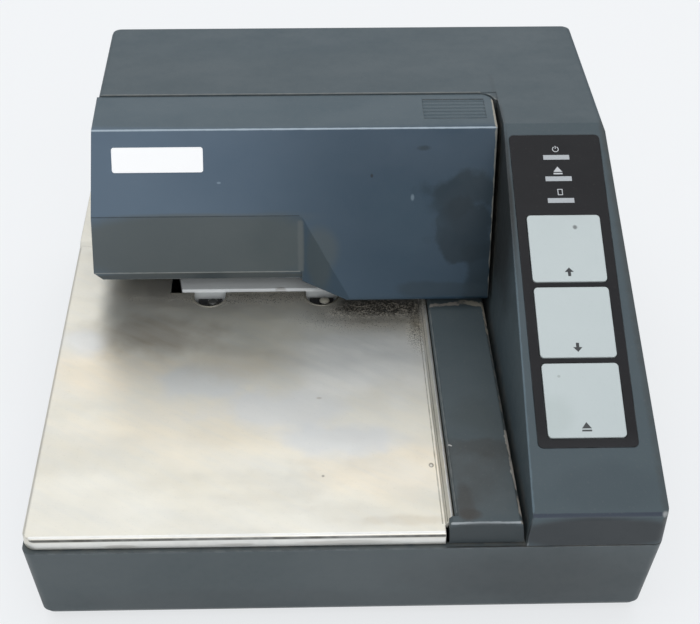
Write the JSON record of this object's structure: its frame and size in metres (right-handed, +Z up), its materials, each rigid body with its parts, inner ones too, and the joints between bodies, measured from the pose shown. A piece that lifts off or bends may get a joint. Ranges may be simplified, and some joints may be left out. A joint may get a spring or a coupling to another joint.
{
  "type": "slip printer",
  "caption": "Flatbed dot matrix slip printer: steel slip table, overhanging head unit with a hinged ribbon cover, sloping key panel, print carriage and slip feed.",
  "frame": {"origin": "centre of the bounding box at the floor under the rubber feet", "axes": "+X to the operator's right, +Y from the front to the rear, +Z up"},
  "size_m": [0.18, 0.188, 0.0986],
  "materials": {
    "case_plastic": "fine textured moulding",
    "foot_rubber": "plain",
    "table_steel": "satin stainless sheet",
    "upper_plastic": "fine textured moulding",
    "panel_film": "smooth printed film",
    "indicator_lens": "frosted",
    "key_plastic": "smooth",
    "circuit_board": "solder mask",
    "cover_plastic": "fine textured moulding",
    "label_stock": "blank white",
    "frame_steel": "zinc plated sheet",
    "ground_steel": "ground and polished",
    "mechanism_plastic": "moulded",
    "head_alloy": "cast, dark",
    "pale_plastic": "moulded acetal",
    "belt_rubber": "fabric backed",
    "motor_steel": "plated can",
    "cassette_plastic": "moulded",
    "ink_fabric": "inked nylon",
    "platen_metal": "milled",
    "roller_rubber": "ground",
    "pinion_brass": "cut",
    "coil_tape": "taped coil",
    "connector_shell": "tin plated shell"
  },
  "bodies": {
    "case": {"lower_case": "case_plastic", "rubber_feet": "foot_rubber", "slip_table": "table_steel", "rear_slip_plate": "table_steel", "slip_guide_panel": "upper_plastic", "upper_case": "upper_plastic", "control_panel_sheet": "panel_film", "indicator_windows": "indicator_lens", "key_board": "circuit_board", "cover_hinge_rod": "ground_steel", "mechanism_frame": "frame_steel", "guide_shafts": "ground_steel", "carriage_belt": "belt_rubber", "carriage_motor": "motor_steel", "ribbon_cassette": "cassette_plastic", "ink_ribbon": "ink_fabric", "platen": "platen_metal", "platen_frame": "frame_steel", "slip_sensors": "mechanism_plastic", "feed_motor": "motor_steel", "release_solenoid": "coil_tape", "main_board": "circuit_board", "interface_connector": "connector_shell", "drawer_connector": "mechanism_plastic", "power_inlet": "mechanism_plastic", "switch_housing": "mechanism_plastic", "case_screws": "ground_steel"},
    "cover": {"ribbon_cover": "cover_plastic", "blank_label": "label_stock"},
    "forward_button": {"forward_key": "key_plastic"},
    "reverse_button": {"reverse_key": "key_plastic"},
    "release_button": {"release_key": "key_plastic"},
    "carriage": {"head_carriage": "mechanism_plastic", "print_head": "head_alloy"},
    "motor_pulley": {"drive_pulley": "pale_plastic"},
    "tension_pulley": {"idler_pulley": "pale_plastic"},
    "ribbon_winder": {"ribbon_knob": "cassette_plastic"},
    "feed_train": {"feed_shaft": "ground_steel", "feed_rollers": "roller_rubber", "feed_gear": "pale_plastic"},
    "feed_pinion": {"motor_pinion": "pinion_brass"},
    "release_arm": {"pressure_arm": "frame_steel"},
    "pressure_pair": {"pressure_rollers": "roller_rubber"},
    "plunger": {"solenoid_plunger": "ground_steel"},
    "switch_rocker": {"power_rocker": "mechanism_plastic"}
  },
  "joints": [
    {"name": "cover_hinge", "type": "hinge", "parent": "case", "child": "cover", "pos_m": [-0.0735, 0.028, 0.049], "axis": [0, -1, 0], "range_deg": [0, 80]},
    {"name": "forward_key_press", "type": "slide", "parent": "case", "child": "forward_button", "axis": [0, 0.4237, -0.9058], "range_m": [0, 0.0004], "stiffness_N_per_m": 1000, "springref_m": -0.0004},
    {"name": "reverse_key_press", "type": "slide", "parent": "case", "child": "reverse_button", "axis": [0, 0.4237, -0.9058], "range_m": [0, 0.0004], "stiffness_N_per_m": 1000, "springref_m": -0.0004},
    {"name": "release_key_press", "type": "slide", "parent": "case", "child": "release_button", "axis": [0, 0.4237, -0.9058], "range_m": [0, 0.0004], "stiffness_N_per_m": 1000, "springref_m": -0.0004},
    {"name": "carriage_travel", "type": "slide", "parent": "case", "child": "carriage", "axis": [1, 0, 0], "range_m": [-0.008, 0.054]},
    {"name": "motor_pulley_spin", "type": "hinge", "parent": "case", "child": "motor_pulley", "pos_m": [0.033, 0.071, 0.066], "axis": [0, 0, 1], "continuous": true},
    {"name": "tension_pulley_spin", "type": "hinge", "parent": "case", "child": "tension_pulley", "pos_m": [-0.059, 0.071, 0.066], "axis": [0, 0, 1], "continuous": true},
    {"name": "ribbon_winder_spin", "type": "hinge", "parent": "case", "child": "ribbon_winder", "pos_m": [0.013, 0.023, 0.076], "axis": [0, -1, 0], "continuous": true},
    {"name": "feed_spin", "type": "hinge", "parent": "case", "child": "feed_train", "pos_m": [0, 0.0393, 0.03195], "axis": [1, 0, 0], "continuous": true},
    {"name": "pinion_spin", "type": "hinge", "parent": "case", "child": "feed_pinion", "pos_m": [0.064, 0.05468, 0.02754], "axis": [1, 0, 0], "continuous": true},
    {"name": "release_arm_swing", "type": "hinge", "parent": "case", "child": "release_arm", "pos_m": [-0.012, 0.058, 0.0508], "axis": [1, 0, 0], "range_deg": [0, 15.5], "stiffness_Nm_per_rad": 0.02, "springref_deg": -28.65},
    {"name": "pressure_pair_spin", "type": "hinge", "parent": "release_arm", "child": "pressure_pair", "pos_m": [-0.023, 0.0378, 0.0455], "axis": [1, 0, 0], "continuous": true},
    {"name": "plunger_travel", "type": "slide", "parent": "case", "child": "plunger", "axis": [0, -1, 0], "range_m": [0, 0.00145]},
    {"name": "power_rocker_tilt", "type": "hinge", "parent": "case", "child": "switch_rocker", "pos_m": [0.0685, 0.088, 0.017], "axis": [1, 0, 0], "range_deg": [0, 16]}
  ],
  "couplings": [
    {"joint": "motor_pulley_spin", "follows": "carriage_travel", "rad_per_m": 158.73},
    {"joint": "tension_pulley_spin", "follows": "carriage_travel", "rad_per_m": 158.73},
    {"joint": "pinion_spin", "follows": "feed_spin", "ratio": -3},
    {"joint": "plunger_travel", "follows": "release_arm_swing", "m_per_rad": 0.0053}
  ]
}
